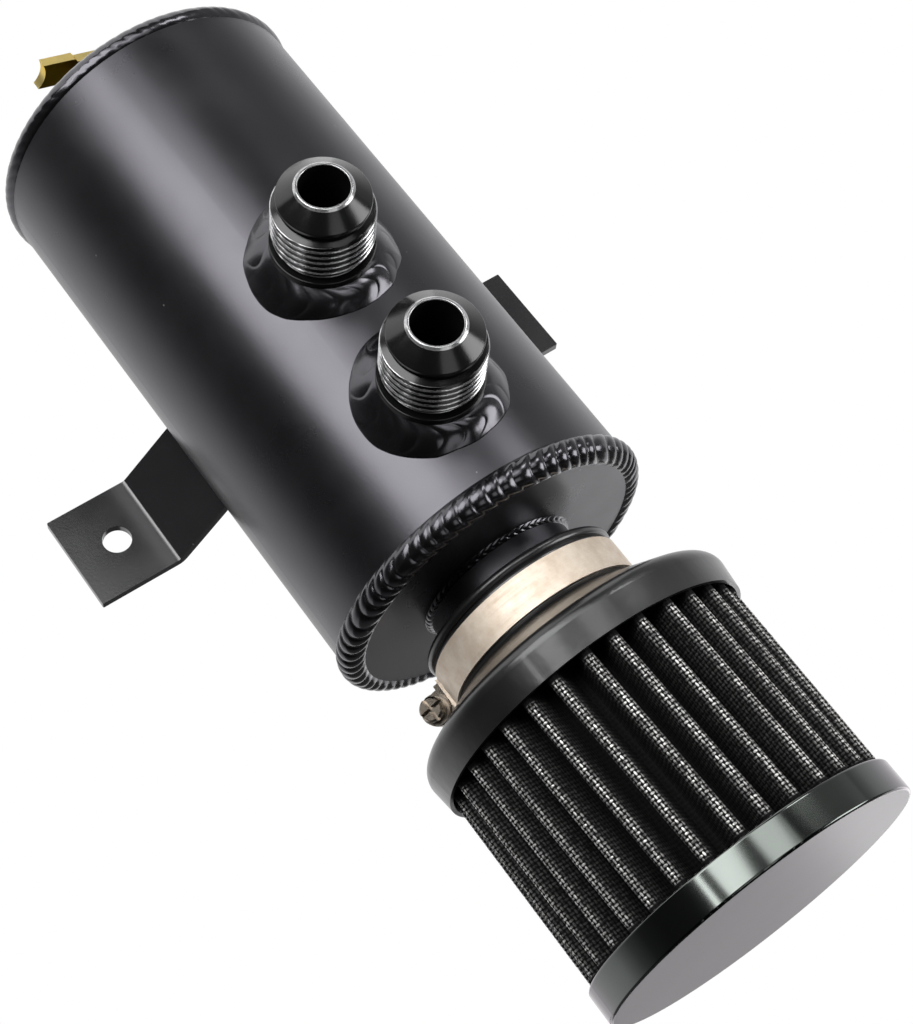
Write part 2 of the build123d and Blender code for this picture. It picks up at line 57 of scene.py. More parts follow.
def add(tree, kind, inputs=None, **props):
    """Adds a node, sets its properties, and links or sets its inputs."""
    node = tree.nodes.new(kind)
    for key, value in props.items():
        setattr(node, key, value)
    for key, value in (inputs or {}).items():
        if isinstance(value, bpy.types.NodeSocket):
            tree.links.new(value, node.inputs[key])
        else:
            node.inputs[key].default_value = value
    return node


def maths(tree, operation, *values):
    """Output of one Math node."""
    return add(tree, "ShaderNodeMath", dict(enumerate(values)), operation=operation).outputs[0]


def blend(tree, share, first, second):
    """Colour between two others, by a share."""
    return add(tree, "ShaderNodeMix", {0: share, 6: first, 7: second}, data_type="RGBA").outputs[2]


def spread(tree, value, span=(0.0, 1.0), levels=(0.0, 1.0)):
    """Value carried from a span to a pair of levels, and held at both ends."""
    inputs = {"Value": value, "From Min": span[0], "From Max": span[1]}
    inputs.update({"To Min": levels[0], "To Max": levels[1]})
    return add(tree, "ShaderNodeMapRange", inputs).outputs[0]


def place(tree):
    """Object coordinates of the surface."""
    return add(tree, "ShaderNodeTexCoord").outputs["Object"]


def noise(tree, where, scale, detail, roughness=0.5):
    """Soft noise over a place."""
    inputs = {"Vector": where, "Scale": scale, "Detail": detail, "Roughness": roughness}
    return add(tree, "ShaderNodeTexNoise", inputs).outputs["Fac"]


def relief(tree, height, strength, depth, **under):
    """Normal of a surface raised by a height, over another normal if one is given."""
    inputs = {"Strength": strength, "Distance": depth, "Height": height, **under}
    return add(tree, "ShaderNodeBump", inputs).outputs[0]


def feed(tree, node, **sockets):
    """Links sockets to a node's inputs by their names."""
    for key, socket in sockets.items():
        tree.links.new(socket, node.inputs[key.replace("_", " ")])


def group(name, inputs, outputs):
    """Empty shader group with named sockets, with its input and output nodes."""
    tree = bpy.data.node_groups.new(name, "ShaderNodeTree")
    for socket, kind, value in inputs:
        tree.interface.new_socket(socket, in_out="INPUT", socket_type=kind).default_value = value
    for socket, kind in outputs:
        tree.interface.new_socket(socket, in_out="OUTPUT", socket_type=kind)
    return tree, tree.nodes.new("NodeGroupInput"), tree.nodes.new("NodeGroupOutput")


def material(name, **constants):
    """Principled material with its constant sockets set."""
    mat = bpy.data.materials.new(name)
    mat.use_nodes = True
    shader = mat.node_tree.nodes["Principled BSDF"]
    for key, value in constants.items():
        shader.inputs[key.replace("_", " ")].default_value = value
    return mat, mat.node_tree, shader


def dress(mat, *names):
    """Gives CAD nodes a material."""
    for name in names:
        nodes[name].data.materials.clear()
        nodes[name].data.materials.append(mat)


coat_group, coat_in, coat_out = group(
    "coat_surface",
    [("Dark", "NodeSocketColor", COAT_DARK), ("Light", "NodeSocketColor", COAT_LIGHT),
     ("Rough Low", "NodeSocketFloat", 0.26), ("Rough High", "NodeSocketFloat", 0.33),
     ("Grain", "NodeSocketFloat", 1500.0), ("Depth", "NodeSocketFloat", 0.02 * MM)],
    [("Color", "NodeSocketColor"), ("Roughness", "NodeSocketFloat"), ("Normal", "NodeSocketVector")],
)
where = place(coat_group)
cloud = noise(coat_group, where, scale=45.0, detail=5.0, roughness=0.6)
peel = noise(coat_group, where, scale=coat_in.outputs["Grain"], detail=3.0)
speck = add(coat_group, "ShaderNodeTexVoronoi", {"Vector": where, "Scale": 190.0})
dot = spread(coat_group, speck.outputs["Distance"], span=(0.03, 0.05), levels=(1.0, 0.0))
rare = maths(coat_group, "GREATER_THAN", speck.outputs["Color"], 0.72)
clean = blend(coat_group, cloud, coat_in.outputs["Dark"], coat_in.outputs["Light"])
dusty = blend(coat_group, maths(coat_group, "MULTIPLY", dot, rare), clean, DUST_GREY)
satin = spread(coat_group, cloud, (0.3, 0.7), (coat_in.outputs["Rough Low"], coat_in.outputs["Rough High"]))
peeled = relief(coat_group, peel, strength=0.35, depth=coat_in.outputs["Depth"])
feed(coat_group, coat_out, Color=dusty, Roughness=satin, Normal=peeled)


def coated(name, settings, **constants):
    """Material whose colour, roughness and grain come from the coat group."""
    mat, tree, shader = material(name, **constants)
    surface = add(tree, "ShaderNodeGroup", settings, node_tree=coat_group)
    feed(tree, shader, Base_Color=surface.outputs["Color"], Roughness=surface.outputs["Roughness"],
         Normal=surface.outputs["Normal"])
    return mat, tree, shader


satin_black = coated("satin_black_coat", {}, **COAT_SHEEN)[0]
dress(satin_black, "can_tube", "top_cap", "outlet_neck", "drain_bung")
dull_black = coated("dull_underside_coat", {"Rough Low": 0.8, "Rough High": 0.9}, Specular_IOR_Level=0.05)[0]
dress(dull_black, "bottom_cap")

# Weld beads: the end discs, neck, bung and tabs are joined by hand-laid beads of overlapping puddles.
# The coat lies thin and glossy over them, so every ripple carries its own small highlight.
TUBE_R = 38.1
TUBE_END = 69.8
CAP_R = 36.05
CAP_FACE = 71.8
BEAD_PUDDLES = 70
BEAD_LAP = 1.5
BEAD_MIDDLE = 0.7
BEAD_CURVE = 0.95
BEAD_SHARP = 60.0
END_BEADS = {
    "top_weld_bead": {"side": 1, "leg": 3.5, "crown": 3.0, "ripple": 0.5},
    "bottom_weld_bead": {"side": -1, "leg": 2.4, "crown": 2.3, "ripple": 0.1},
}
rng = np.random.default_rng(7)
weld_black = coated("welded_black_coat", {"Rough Low": 0.15, "Rough High": 0.24, "Grain": 900.0},
                    **COAT_SHEEN)[0]


def skin(name, points, wrap=True, uv=None, sharp=40.0, **values):
    """Mesh of quads over a grid of points (columns, rows, 3), with optional uv and point values."""
    columns, rows = points.shape[:2]
    spans = columns if wrap else columns - 1
    i = np.repeat(np.arange(spans), rows - 1)
    j = np.tile(np.arange(rows - 1), spans)
    k = (i + 1) % columns
    quads = np.stack([i * rows + j, k * rows + j, k * rows + j + 1, i * rows + j + 1], axis=1)
    mesh = bpy.data.meshes.new(name)
    mesh.from_pydata(points.reshape(-1, 3).tolist(), [], quads.tolist())
    if uv is not None:
        layer = mesh.uv_layers.new(name="weave")
        u, v = uv
        corner = np.stack([u[i], v[j], u[i + 1], v[j], u[i + 1], v[j + 1], u[i], v[j + 1]], axis=1)
        layer.data.foreach_set("uv", corner.ravel())
    for key, value in values.items():
        mesh.attributes.new(key, "FLOAT", "POINT").data.foreach_set("value", value.ravel())
    mesh.polygons.foreach_set("use_smooth", np.ones(len(quads), dtype=bool))
    mesh.set_sharp_from_angle(angle=math.radians(sharp))
    obj = bpy.data.objects.new(name, mesh)
    bpy.context.scene.collection.objects.link(obj)
    return obj


def finish_piece(obj, mat, body, slot, *replaced):
    """Gives a new piece its material and body, and hides what it stands for. The slot is not used."""
    obj.data.materials.append(mat)
    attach(obj, body)
    if replaced:
        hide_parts(*replaced)


def full_turn(steps):
    """Angles of a full turn, as a column."""
    return np.linspace(0, 2 * np.pi, steps, endpoint=False)[:, None]


def round_turn(turn, values):
    """Drawn values spaced round a full turn, joined by straight runs."""
    return np.interp(turn, np.linspace(0, 2 * np.pi, len(values) + 1), np.r_[values, values[0]])


def puddle(phase, lean=0.78):
    """Height of a row of weld puddles over their phase: round humps that lean back, with sharp valleys."""
    return np.sin(np.pi * (phase - np.floor(phase)) ** lean) ** 0.75


def about_axis(r, turn, z):
    """Points about the can's axis from radius, turn and height in millimetres."""
    return np.stack([r * np.cos(turn) * MM, r * np.sin(turn) * MM + AXIS_Y, z * MM], axis=2)


def end_bead(name, side, leg, crown, ripple):
    """Rope of puddles over the corner of tube and cap."""
    toe = np.array([TUBE_R, TUBE_END - leg])
    lap = np.array([CAP_R - BEAD_LAP, CAP_FACE])
    chord = lap - toe
    out = np.array([chord[1], -chord[0]]) / np.hypot(*chord)
    half = np.hypot(*chord) / 2
    radius = (half ** 2 + crown ** 2) / (2 * crown)
    centre = (toe + lap) / 2 + out * (crown - radius)
    start = math.atan2(*(toe - centre)[::-1])
    stop = math.atan2(*(lap - centre)[::-1])
    across = np.linspace(-1.0, 1.0, 21)[None, :]
    turn = full_turn(BEAD_PUDDLES * 16)
    wander = round_turn(turn, rng.normal(0, 0.22, 40))
    size = round_turn(turn, rng.uniform(0.75, 1.15, 30))
    phase = turn * BEAD_PUDDLES / (2 * np.pi) + wander + BEAD_CURVE * across ** 2
    lift = ripple * size * (puddle(phase) - BEAD_MIDDLE) * (1 - across ** 4)
    angle = start + (across + 1) / 2 * (stop - start)
    r = centre[0] + (radius + lift) * np.cos(angle)
    z = centre[1] + (radius + lift) * np.sin(angle)
    points = about_axis(r, turn, side * z)
    return skin(name, points[::-1] if side < 0 else points, sharp=BEAD_SHARP)


for name, sizes in END_BEADS.items():
    finish_piece(end_bead(name + "_ripple", **sizes), weld_black, "can", "black_coat", name)

FILLET_BOW = 0.07
FILLET_CURVE = 0.8
FILLET_ROUND = 0.8
FILLET_WANDER = 0.2
RING_WELDS = {
    "outlet_neck_weld": {"side": 1, "inner_r": 18.0, "leg": 1.1, "count": 56, "ripple": 0.16},
    "drain_bung_weld": {"side": -1, "inner_r": 11.5, "leg": 2.5, "count": 24, "ripple": 0.4},
}


def ring_weld(name, side, inner_r, leg, count, ripple):
    """Fillet of puddles round an upright tube that stands on a cap."""
    draw = np.random.default_rng(count)
    turn = full_turn(count * 12)
    t = np.linspace(0, 1, 13)[None, :]
    wander = round_turn(turn, draw.normal(0, FILLET_WANDER, 12))
    phase = turn * count / (2 * np.pi) + wander + FILLET_CURVE * (2 * t - 1) ** 2
    swell = FILLET_BOW * leg + ripple * (puddle(phase) - 1)
    rise = swell * np.sin(np.pi * t) ** FILLET_ROUND * math.sqrt(0.5)
    points = about_axis(inner_r + leg * t + rise, turn, side * (CAP_FACE + leg * (1 - t) + rise))
    return skin(name, points[::-1] if side > 0 else points, sharp=BEAD_SHARP)


for name, sizes in RING_WELDS.items():
    finish_piece(ring_weld(name + "_ripple", **sizes), weld_black, "can", "black_coat", name)

# The root is where the middle of a tab's leg meets the tube.
TAB_ROOT_X = 29.136
TAB_ROOT_Y = 24.550
TAB_TURN = 45.0
TAB_WIDTH = 25.4
TAB_BEAD_R = 3.4
TAB_BEAD_END = 2.5
TAB_BEAD_LEAST = 0.4
TAB_BEAD_SUNK = 1.0
TAB_PUDDLES = 9
TAB_RIPPLE = 0.5
LOWER_SIDE = (-52.4, 27.9)
UPPER_SIDE = (62.1, 132.7)


def tab_weld(name, hand, seed):
    """Beads along both sides of a tab's leg, from the tube up to the sheet, with rounded ends."""
    draw = np.random.default_rng(seed)
    along = np.linspace(-0.5, 0.5, 121)[:, None] * TAB_WIDTH
    across = np.linspace(0, 1, 13)
    t = np.r_[across, 0.5, across][None, :]
    lower = np.linspace(*LOWER_SIDE, len(across))
    upper = np.linspace(*UPPER_SIDE, len(across))
    turn = np.radians(np.r_[lower, TAB_TURN, upper])[None, :]
    wander = np.interp(along, np.linspace(-0.5, 0.5, 8) * TAB_WIDTH, draw.normal(0, FILLET_WANDER, 8))
    phase = along * TAB_PUDDLES / TAB_WIDTH + wander + FILLET_CURVE * (2 * t - 1) ** 2
    close = np.maximum(np.abs(along) - TAB_WIDTH / 2 + TAB_BEAD_END, 0) / TAB_BEAD_END
    dip = TAB_RIPPLE * (puddle(phase) - 1) * np.sin(np.pi * t) ** FILLET_ROUND
    r = np.maximum(TAB_BEAD_R * np.sqrt(1 - close ** 2) + dip, TAB_BEAD_LEAST)
    r[:, len(across)] = np.minimum(r[:, len(across)], TAB_BEAD_SUNK)
    x = hand * (TAB_ROOT_X + r * np.cos(turn)) * MM
    y = (TAB_ROOT_Y + r * np.sin(turn)) * MM + AXIS_Y
    points = np.stack([x, y, np.broadcast_to(along, r.shape) * MM], axis=2)
    return skin(name, points[::-1] if hand > 0 else points, wrap=False, sharp=BEAD_SHARP)


for name, hand, seed in (("right_bracket_weld", 1, 21), ("left_bracket_weld", -1, 22)):
    finish_piece(tab_weld(name + "_ripple", hand, seed), weld_black, "can", "black_coat", name)

# Hose ports: turned aluminium fittings with a straight thread and a flare cone, anodised black.
# Each stands in a hole of the tube behind a wide skirt of weld. Bare metal shines at the thread crests, the
# nose ring and the edge of the cone. Heights are measured outward from the crown of the tube.
PORT_Z = {"lower": 3.0, "upper": 42.5}
PORT_BORE_R = 5.4
PORT_BASE_R = 11.4
PORT_TAIL = 5.0
PORT_COLLAR_H = 4.4
PORT_RELIEF_R = 9.5
PORT_EDGE = 0.2
PORT_BASE_EDGE = 0.22
THREAD_R = 11.1
THREAD_START = 6.6
THREAD_END = 16.8
THREAD_CHAMFER = 0.7
THREAD_PITCH = 1.814
THREAD_DEPTH = 1.0
THREAD_CLOCK = 0.12
CONE_R = 10.1
CONE_H = 19.4
CONE_LAND = 1.0
NOSE_R = 6.3
NOSE_H = 22.8
NOSE_EDGE = 0.35
MOUTH_WIDE = 0.15
MOUTH_DEEP = 0.2
GROOVE_WIDE = 1.08
GROOVE_STEEP = 2.5
CREST_WEAR = 0.9
CREST_GROOVE = 0.25
CREST_RUN_IN = 1.4
NOSE_WEAR = 0.8
NOSE_BAND = 0.4
MOUTH_CLEAR = 0.02
WEAR_FROM = 3.5
BARE_METAL = (0.62, 0.62, 0.63, 1)
TOOL_LINES = (0.0, 9000.0, 0.0)

fitting_black, tree, shader = coated(
    "black_anodised_fitting", {"Rough Low": 0.14, "Rough High": 0.22, "Grain": 2500.0,
                               "Dark": (0.004, 0.004, 0.004, 1), "Light": (0.009, 0.009, 0.009, 1)})
worn = add(tree, "ShaderNodeAttribute", attribute_name="worn").outputs["Fac"]
scuff = noise(tree, place(tree), scale=700.0, detail=4.0)
bare = maths(tree, "MULTIPLY", worn, spread(tree, scuff, span=(0.3, 0.6), levels=(0.7, 1.0)))
coat = shader.inputs["Base Color"].links[0].from_socket
grain = shader.inputs["Normal"].links[0].from_socket
along = add(tree, "ShaderNodeVectorMath", {0: place(tree), 1: TOOL_LINES}, operation="MULTIPLY").outputs[0]
turned = relief(tree, noise(tree, along, scale=1.0, detail=2.0), strength=0.35, depth=0.02 * MM, Normal=grain)
feed(tree, shader, Base_Color=blend(tree, bare, coat, BARE_METAL), Metallic=bare, Normal=turned)


def port_points(height, r, turn, h):
    """Points of a port from its radius, turn and height above the tube, in millimetres."""
    y = -(TUBE_R + h) * MM + AXIS_Y
    return np.stack([r * np.cos(turn) * MM, y, (height + r * np.sin(turn)) * MM], axis=2)


def eased(corners, radius):
    """Outline with every corner broken by a small round, and how bare each point is on an outer edge."""
    corners = np.array(corners)
    points, edge = [corners[0]], [0.0]
    for before, here, after in zip(corners[:-2], corners[1:-1], corners[2:]):
        back, on = before - here, after - here
        cut = min(radius, 0.45 * np.hypot(*back), 0.45 * np.hypot(*on))
        a = here + back / np.hypot(*back) * cut
        b = here + on / np.hypot(*on) * cut
        outer = (back[0] * on[1] - back[1] * on[0]) > 0
        for t, shine in ((0.0, 0.0), (0.2, 0.8), (0.5, 1.0), (0.8, 0.8), (1.0, 0.0)):
            points.append((1 - t) ** 2 * a + 2 * t * (1 - t) * here + t ** 2 * b)
            edge.append(shine if outer else 0.0)
    points.append(corners[-1])
    edge.append(0.0)
    return np.array(points), np.array(edge)


def port_fitting(name, height):
    """Lathe form with a cut helical thread and eased edges."""
    low, low_edge = eased([(PORT_BORE_R, -PORT_TAIL), (PORT_BASE_R, -PORT_TAIL), (PORT_BASE_R, PORT_COLLAR_H),
                           (PORT_RELIEF_R, PORT_COLLAR_H), (PORT_RELIEF_R, THREAD_START)], PORT_BASE_EDGE)
    high, high_edge = eased([(PORT_RELIEF_R, THREAD_END), (PORT_RELIEF_R, CONE_H - CONE_LAND),
                             (CONE_R, CONE_H - CONE_LAND), (CONE_R, CONE_H), (NOSE_R, NOSE_H - NOSE_EDGE),
                             (NOSE_R - NOSE_EDGE, NOSE_H), (PORT_BORE_R + MOUTH_WIDE, NOSE_H),
                             (PORT_BORE_R, NOSE_H - MOUTH_DEEP), (PORT_BORE_R, -PORT_TAIL)], PORT_EDGE)
    on_nose = (high[:, 1] > NOSE_H - NOSE_BAND) & (high[:, 0] > PORT_BORE_R + MOUTH_CLEAR)
    high_edge = np.where(on_nose, NOSE_WEAR, high_edge)
    rise = np.linspace(THREAD_START, THREAD_END, 140)[None, 1:-1]
    turn = full_turn(160)
    ones = np.ones_like(turn)
    phase = rise / THREAD_PITCH - turn / (2 * np.pi) + THREAD_CLOCK
    groove = THREAD_DEPTH * np.clip(GROOVE_WIDE - GROOVE_STEEP * np.abs(phase - np.floor(phase) - 0.5), 0, 1)
    run_in = np.minimum(rise - THREAD_START, THREAD_END - rise) * (THREAD_R - PORT_RELIEF_R) / THREAD_CHAMFER
    thread = np.minimum(THREAD_R - groove, PORT_RELIEF_R + run_in)
    crest = np.where((groove < CREST_GROOVE) & (run_in > CREST_RUN_IN), CREST_WEAR, 0.0)
    r = np.hstack([ones * low[:, 0], thread, ones * high[:, 0]])
    h = np.hstack([ones * low[:, 1], ones * rise, ones * high[:, 1]])
    wear = np.where(h < WEAR_FROM, 0.0, np.hstack([ones * low_edge, crest, ones * high_edge]))
    return skin(name, port_points(height, r, turn, h)[::-1], sharp=50.0, worn=wear[::-1])


SKIRT_R = 11.3
SKIRT_TOP = 2.8
SKIRT_TOE_R = 16.5
SKIRT_SPREAD = 0.35
SKIRT_BOW = 0.55
SKIRT_SINK = 0.15
SKIRT_PUDDLES = 17
SKIRT_LIFT = 0.24
SKIRT_CURVE = 2.6


def port_weld(name, height, seed):
    """Skirt of overlapping puddles from the fitting down onto the round of the tube."""
    draw = np.random.default_rng(seed)
    turn = full_turn(420)
    t = np.linspace(0, 1, 34)[None, :]
    side = np.cos(turn) ** 2
    toe_r = SKIRT_TOE_R + SKIRT_SPREAD * side + round_turn(turn, draw.normal(0, 0.22, 24))
    toe_h = np.sqrt(TUBE_R ** 2 - (toe_r * np.cos(turn)) ** 2) - TUBE_R
    r = SKIRT_R + t * (toe_r - SKIRT_R)
    h = SKIRT_TOP + t * (toe_h - SKIRT_TOP) + SKIRT_BOW * np.sin(np.pi * t) * (1 - 0.3 * side)
    wander = round_turn(turn, draw.normal(0, 0.2, 15))
    phase = turn * SKIRT_PUDDLES / (2 * np.pi) + wander + SKIRT_CURVE * (t - 0.5) ** 2
    h += SKIRT_LIFT * (puddle(phase, 0.7) - 0.6) * np.sin(np.pi * np.clip(t * 1.02, 0, 1)) ** 0.7
    h[:, -1] -= SKIRT_SINK
    return skin(name, port_points(height, r, turn, h)[::-1], sharp=70.0)


for seed, (name, height) in enumerate(PORT_Z.items(), start=11):
    fitting = port_fitting(name + "_port_threaded", height)
    finish_piece(fitting, fitting_black, "can", "black_fitting", name + "_port_fitting")
    skirt = port_weld(name + "_port_puddles", height, seed)
    finish_piece(skirt, weld_black, "can", "black_coat", name + "_port_weld")

# Wall tabs: two bent strips of sheet with a bolt hole each, welded to the tube and coated like the can.
# They look a little greyer than the can. Their cut edges are broken and catch a thin line of light.
tab_black = coated("tab_coat", {"Dark": (0.017, 0.017, 0.018, 1), "Light": (0.027, 0.027, 0.029, 1),
                                "Rough Low": 0.12, "Rough High": 0.19}, Specular_IOR_Level=0.9)[0]


def break_edges(name, label, width):
    """Small round along the sharp edges of a CAD node."""
    broken = nodes[name].modifiers.new(label, "BEVEL")
    broken.width = width * MM
    broken.segments = 2
    broken.limit_method = "ANGLE"
    broken.angle_limit = math.radians(40)


dress(tab_black, "right_bracket_tab", "left_bracket_tab")
for name in ("right_bracket_tab", "left_bracket_tab"):
    break_edges(name, "broken_edges", 0.25)

# Drain valve: a turned brass needle valve, screwed into the bung, with a stamped handle on its stem.
# The brass is bright on its cut sides; its flat faces that look up or down carry painted shade, a dark olive
# brown. A white seal lies round the stem under the gland nut.
BRASS_DEEP = (0.74, 0.55, 0.16, 1)
BRASS_PALE = (0.98, 0.82, 0.38, 1)
SHADED_BRASS_DEEP = (0.12, 0.078, 0.014, 1)
SHADED_BRASS_PALE = (0.27, 0.19, 0.04, 1)

brass, tree, shader = material("drain_brass", Metallic=1.0, Specular_Tint=(0.85, 0.68, 0.3, 1))
stain = noise(tree, place(tree), scale=160.0, detail=6.0, roughness=0.65)
fine = noise(tree, place(tree), scale=1400.0, detail=3.0)
lie = add(tree, "ShaderNodeSeparateXYZ", {0: add(tree, "ShaderNodeTexCoord").outputs["Normal"]})
# Painted shade: faces whose normal points up or down are turned from bright brass to dark olive brown.
shaded_face = spread(tree, maths(tree, "ABSOLUTE", lie.outputs["Z"]), span=(0.75, 0.97))
cut_tint = blend(tree, stain, BRASS_DEEP, BRASS_PALE)
shade_tint = blend(tree, stain, SHADED_BRASS_DEEP, SHADED_BRASS_PALE)
feed(tree, shader, Base_Color=blend(tree, shaded_face, cut_tint, shade_tint),
     Roughness=spread(tree, stain, span=(0.3, 0.7), levels=(0.42, 0.24)),
     Normal=relief(tree, fine, strength=0.3, depth=0.03 * MM))
dress(brass, "drain_valve_body", "drain_gland_nut", "drain_stem", "drain_handle")
break_edges("drain_handle", "stamped_edges", 0.3)
seal = coated("seal_white", {"Dark": (0.6, 0.6, 0.58, 1), "Light": (0.75, 0.75, 0.72, 1),
                             "Rough Low": 0.5, "Rough High": 0.6})[0]
dress(seal, "drain_packing")

# Breather filter: a moulded rubber boot, a pleated element of wire gauze over cotton, and a pressed cap.
# The pleats are potted into the boot's flange and the cap; their potted ends are dark, partly black potting
# and partly painted shade. The bright dots along each ridge are painted highlights on the wire knuckles, and
# painted shade takes the wire on the flanks and in the valleys down to black.
rubber = coated("boot_rubber", {"Dark": (0.006, 0.006, 0.0062, 1), "Light": (0.014, 0.014, 0.0145, 1),
                                "Rough Low": 0.27, "Rough High": 0.36, "Grain": 140.0, "Depth": 0.4 * MM},
                Specular_IOR_Level=0.6, Coat_Weight=0.3, Coat_Roughness=0.09)[0]
dress(rubber, "filter_boot")

PLEATS = 32
RIDGE_R = 36.9
PLEAT_DEPTH = 8.5
TIP_R = 1.45
VALLEY_R = 1.2
PLEAT_CLOCK = math.radians(2.5)
PLEAT_LEAN = math.radians(3.5)
RIDGE_SWEEP = (-80, 80)
VALLEY_SWEEP = (260, 100)
# CREST_SWEEP, CREST_FADE and FLANK_LEVEL shape the painted shade from each crest down the flanks.
CREST_SWEEP = 8
CREST_FADE = 60
FLANK_LEVEL = 0.92
WIRE_PITCH = 1.0
WIRE_RELIEF = 0.3
WIRE_CROSSED = 0.8
FINE_DEPTH = 5.0
RELIEF_DEPTH = 1.5
RELIEF_FADE = 3.0
GAUZE_LOW = 109.0
GAUZE_HIGH = 153.0
POTTING_EDGE = 0.6
POTTING_STEP = 0.8
POTTING_CLEAR = 0.1


def arc(centre, radius, turn):
    """Point on a round about a centre."""
    return centre + radius * np.array([math.cos(turn), math.sin(turn)])


def pleat_line():
    """One turn of the pleated line, tangent from ridge to valley, and how far each point lies off a crest."""
    half = math.pi / PLEATS
    ridge_c = RIDGE_R - TIP_R
    valley_c = RIDGE_R - PLEAT_DEPTH + VALLEY_R
    line, off_crest = [], []
    for index in range(PLEATS):
        mid = 2 * half * index + PLEAT_CLOCK + rng.normal(0, 0.10) * half
        ridge = arc(0, ridge_c - abs(rng.normal(0, 0.12)), mid)
        after = 2 * half * (index + 0.5) + PLEAT_CLOCK
        valley = arc(0, valley_c, after)
        for sweep in np.linspace(*RIDGE_SWEEP, 33):
            line.append(arc(ridge, TIP_R, mid + math.radians(sweep)))
            off_crest.append(min(max((abs(sweep) - CREST_SWEEP) / CREST_FADE, 0.0), FLANK_LEVEL))
        for sweep in np.linspace(*VALLEY_SWEEP, 13):
            line.append(arc(valley, VALLEY_R, after + math.radians(sweep)))
            off_crest.append(1.0)
    return np.array(line), np.array(off_crest)


def gauze_sheet(name):
    """Pleated gauze with a column and a row at every half pitch, its wires standing out along the ridges."""
    outline, off_crest = pleat_line()
    closed = np.vstack([outline, outline[:1]])
    run = np.r_[0, np.cumsum(np.hypot(*np.diff(closed, axis=0).T))]
    wires = round(run[-1] / (2 * WIRE_PITCH)) * 2
    column = np.arange(2 * wires)
    station = column * run[-1] / (2 * wires)
    line = np.stack([np.interp(station, run, closed[:, 0]), np.interp(station, run, closed[:, 1])], axis=1)
    ahead = np.roll(line, -1, axis=0) - np.roll(line, 1, axis=0)
    outward = np.stack([ahead[:, 1], -ahead[:, 0]], axis=1) / np.hypot(*ahead.T)[:, None]
    depth = RIDGE_R - np.hypot(*line.T)
    keep = (depth < FINE_DEPTH) | (column % 4 == 0)
    column, station, line, outward, depth = (part[keep] for part in (column, station, line, outward, depth))

    low_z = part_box("filter_pleats")[0].z + POTTING_CLEAR * MM
    high_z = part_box("filter_pleats")[1].z - POTTING_CLEAR * MM
    row = np.arange(GAUZE_LOW, GAUZE_HIGH + 0.01, WIRE_PITCH / 2)
    low_edge = GAUZE_LOW - POTTING_EDGE
    high_edge = GAUZE_HIGH + POTTING_EDGE
    z = np.r_[low_z, (low_edge - POTTING_STEP) * MM, low_edge * MM, row * MM, high_edge * MM, high_z]
    on_warp = (column % 2)[:, None]
    on_weft = np.r_[0, 0, 0, np.round(2 * row / WIRE_PITCH).astype(int) % 2, 0, 0][None, :]
    wire = np.where(on_warp * on_weft > 0, 1.0, np.where(on_warp + on_weft > 0, WIRE_CROSSED, 0.0))
    between_pottings = np.r_[0, 0, 0, np.ones(len(row)), 0, 0][None, :]
    near_ridge = 1 - np.clip((depth - RELIEF_DEPTH) / RELIEF_FADE, 0, 1)[:, None]
    sink = WIRE_RELIEF * (1 - wire) * between_pottings * near_ridge
    x, y = np.moveaxis(line[:, None, :] - outward[:, None, :] * sink[:, :, None], 2, 0)
    lean = PLEAT_LEAN * (0.5 - (z - low_z) / (high_z - low_z))[None, :]
    points = np.stack([(x * np.cos(lean) - y * np.sin(lean)) * MM,
                       (x * np.sin(lean) + y * np.cos(lean)) * MM + AXIS_Y,
                       np.broadcast_to(z, sink.shape)], axis=2)
    # Point values that carry painted shade: how far off a crest each column lies, and the potted ends.
    sunk = np.interp(station, run, np.r_[off_crest, off_crest[0]])[:, None]
    u = np.r_[column, 2 * wires] * WIRE_PITCH * MM / 2
    return skin(name, points, uv=(u, z), sharp=80.0, sunk=np.broadcast_to(sunk, sink.shape),
                potted=np.broadcast_to(1 - between_pottings, sink.shape))


WIRE_ROUND = 0.085
WIRE_SWING = 0.16
WIRE_MIDDLE = 0.3
WIRE_TOP = 0.2
COTTON_BLACK = (0.003, 0.003, 0.003, 1)
WIRE_DARK = (0.006, 0.006, 0.006, 1)
WIRE_BRIGHT = (0.92, 0.91, 0.89, 1)


def wire_height(tree, across, along):
    """Height of a round wire over its own width, rising and falling as it weaves, in pitches."""
    offset = maths(tree, "SUBTRACT", maths(tree, "FRACT", across), 0.5)
    round_off = maths(tree, "SUBTRACT", WIRE_ROUND, maths(tree, "MULTIPLY", offset, offset))
    crown = maths(tree, "SQRT", maths(tree, "MAXIMUM", round_off, 0.0))
    side = maths(tree, "MULTIPLY", maths(tree, "FLOOR", across), math.pi)
    swing = maths(tree, "SINE", maths(tree, "ADD", maths(tree, "MULTIPLY", along, math.pi), side))
    on = maths(tree, "GREATER_THAN", crown, 0.01)
    middle = maths(tree, "MULTIPLY_ADD", swing, WIRE_SWING, WIRE_MIDDLE)
    return maths(tree, "MULTIPLY", on, maths(tree, "ADD", crown, middle))


weave_group, _, weave_out = group(
    "wire_weave", [], [("Height", "NodeSocketFloat"), ("Wire", "NodeSocketFloat")])
weave_uv = add(weave_group, "ShaderNodeUVMap", uv_map="weave").outputs[0]
cell = add(weave_group, "ShaderNodeVectorMath", {0: weave_uv, "Scale": 1 / (WIRE_PITCH * MM)},
           operation="SCALE").outputs[0]
warp_at, weft_at = add(weave_group, "ShaderNodeSeparateXYZ", {0: cell}).outputs[:2]
warp = wire_height(weave_group, warp_at, weft_at)
weft = wire_height(weave_group, weft_at, maths(weave_group, "ADD", warp_at, 1.0))
top = maths(weave_group, "MAXIMUM", warp, weft)
feed(weave_group, weave_out, Height=top, Wire=maths(weave_group, "GREATER_THAN", top, WIRE_TOP))

